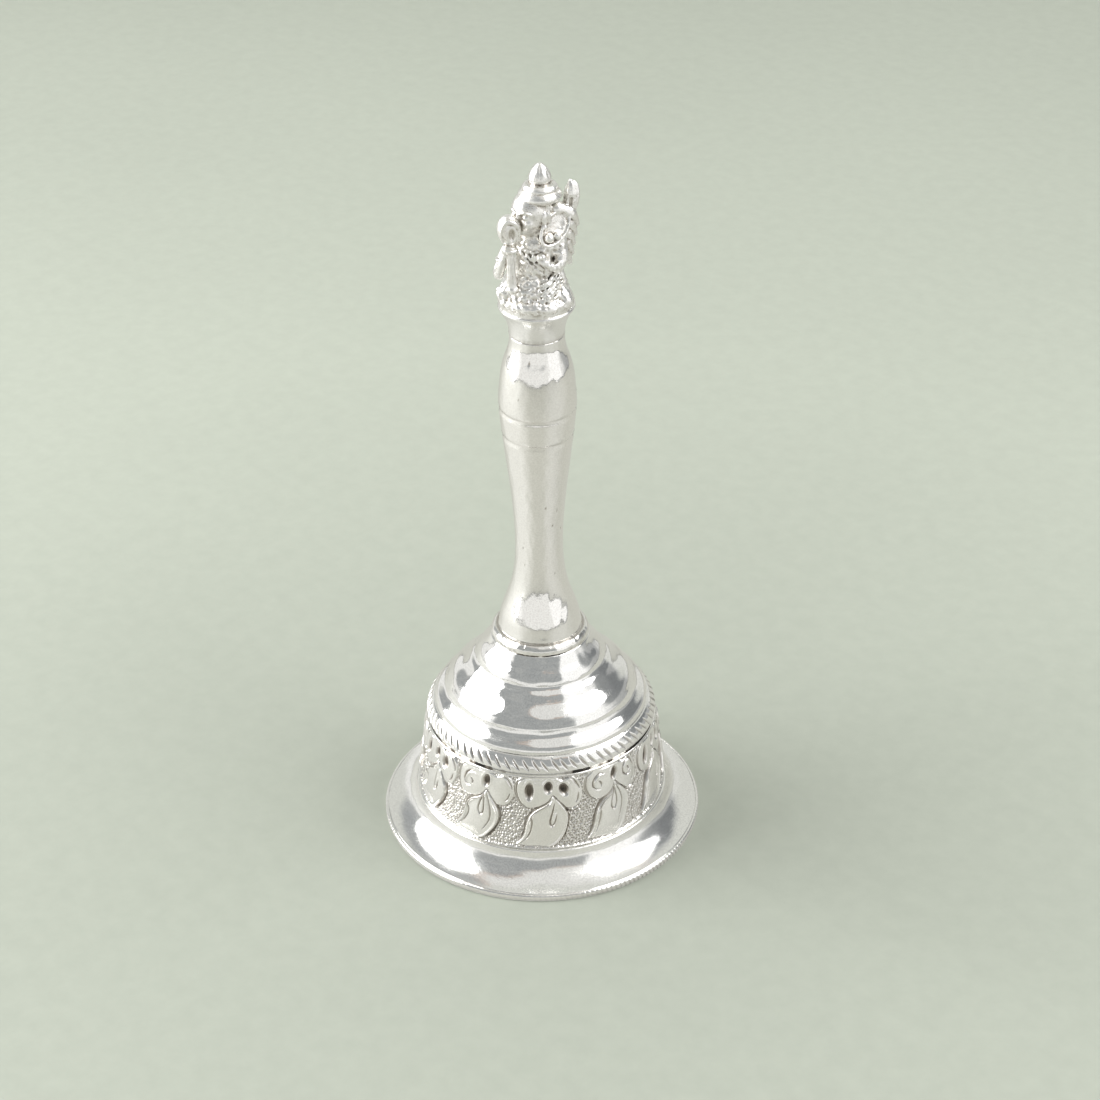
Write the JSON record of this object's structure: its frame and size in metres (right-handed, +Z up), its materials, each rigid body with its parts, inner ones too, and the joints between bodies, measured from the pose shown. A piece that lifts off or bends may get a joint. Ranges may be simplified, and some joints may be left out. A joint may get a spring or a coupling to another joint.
{
  "type": "hand bell",
  "caption": "Small silver devotional hand bell: flared and chased cup, stepped dome, turned baluster handle, cast crowned figure finial, clapper swinging on a link ring.",
  "frame": {"origin": "centre of the foot, on the surface that the bell stands on", "axes": "+Z up the handle to the finial, -Y the way the figure faces, X completes a right-handed frame; the clapper's main swing is along X"},
  "size_m": [0.055, 0.055, 0.122],
  "materials": {
    "polished_silver": "mirror-polished silver with fine wipe marks and darker chased recesses",
    "satin_silver": "hand-polished silver, slightly satin, with small pits",
    "textured_silver": "punched and matted silver, darker in its hollows",
    "cast_silver": "sharp cast silver, bright on its high points and toned in its folds",
    "dull_silver": "unpolished silver with handling marks",
    "plain_brass": "turned brass",
    "plain_steel": "machined steel"
  },
  "bodies": {
    "bell": {"bell_cup": "polished_silver", "seat_ring": "textured_silver", "handle": "satin_silver", "finial_cup": "polished_silver", "finial_figure": "cast_silver", "finial_pin": "plain_brass", "hanger_stud": "plain_steel", "crown_washer": "plain_brass", "lock_nut": "plain_steel"},
    "link": {"link_ring": "dull_silver"},
    "clapper": {"clapper_rod": "dull_silver", "clapper_ball": "dull_silver", "clapper_rivet": "plain_brass"}
  },
  "joints": [
    {"name": "link_swing", "type": "hinge", "parent": "bell", "child": "link", "pos_m": [0, 0, 0.0276], "axis": [0, 1, 0], "range_deg": [-42, 42]},
    {"name": "clapper_swing", "type": "hinge", "parent": "link", "child": "clapper", "pos_m": [0, 0, 0.02482], "axis": [1, 0, 0], "range_deg": [-16, 16]}
  ]
}
